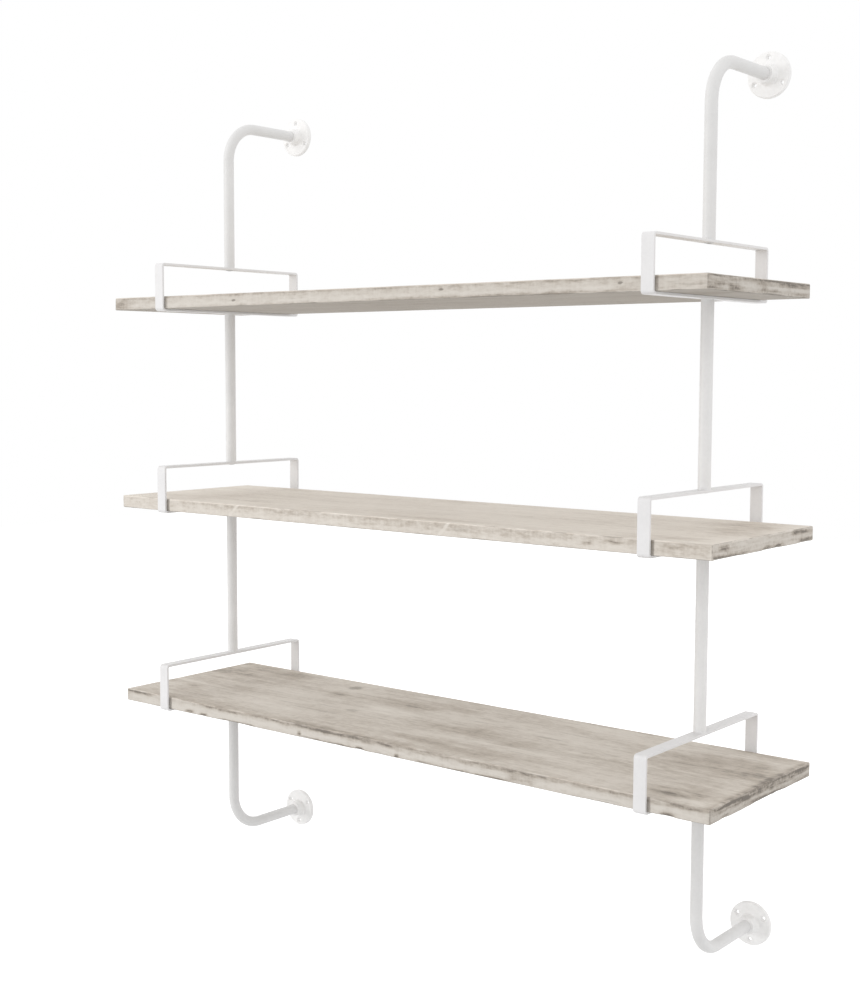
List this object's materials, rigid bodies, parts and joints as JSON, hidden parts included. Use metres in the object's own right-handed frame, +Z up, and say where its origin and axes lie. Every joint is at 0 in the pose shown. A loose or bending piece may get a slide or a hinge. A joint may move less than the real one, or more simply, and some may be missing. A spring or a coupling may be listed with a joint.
{
  "type": "wall shelving unit",
  "caption": "Wall shelving unit: wooden boards lie through flat-bar loops on upright tubes whose ends bend back into round wall flanges.",
  "frame": {"origin": "centre of the rectangle of the four outermost wall holes, on the wall plane (the flanges' back faces), midway between the two frames and between the upper and lower flanges", "axes": "+X along the boards, to the right seen from the front; +Y from the front towards the wall; +Z up"},
  "size_m": [1.218, 0.354, 1.388],
  "materials": {
    "whitewashed_wood": "weathered whitewash, matt, with worn and chipped edges",
    "white_metal": "white powder coat, satin",
    "zinc_steel": "bright zinc plated"
  },
  "bodies": {
    "root": {"board_top": "whitewashed_wood", "board_middle": "whitewashed_wood", "board_bottom": "whitewashed_wood", "loop_top_left": "white_metal", "plug_over_top_left": "zinc_steel", "plug_under_top_left": "zinc_steel", "loop_middle_left": "white_metal", "plug_over_middle_left": "zinc_steel", "plug_under_middle_left": "zinc_steel", "loop_bottom_left": "white_metal", "plug_over_bottom_left": "zinc_steel", "plug_under_bottom_left": "zinc_steel", "tube_upper_left": "white_metal", "tube_lower_left": "white_metal", "bent_tube_upper_left": "white_metal", "bent_tube_lower_left": "white_metal", "flange_upper_left": "white_metal", "flange_lower_left": "white_metal", "loop_top_right": "white_metal", "plug_over_top_right": "zinc_steel", "plug_under_top_right": "zinc_steel", "loop_middle_right": "white_metal", "plug_over_middle_right": "zinc_steel", "plug_under_middle_right": "zinc_steel", "loop_bottom_right": "white_metal", "plug_over_bottom_right": "zinc_steel", "plug_under_bottom_right": "zinc_steel", "tube_upper_right": "white_metal", "tube_lower_right": "white_metal", "bent_tube_upper_right": "white_metal", "bent_tube_lower_right": "white_metal", "flange_upper_right": "white_metal", "flange_lower_right": "white_metal", "guard_bolts": "zinc_steel", "seat_bolts": "zinc_steel", "board_screws_top": "zinc_steel", "board_screws_middle": "zinc_steel", "board_screws_bottom": "zinc_steel"}
  },
  "joints": []
}
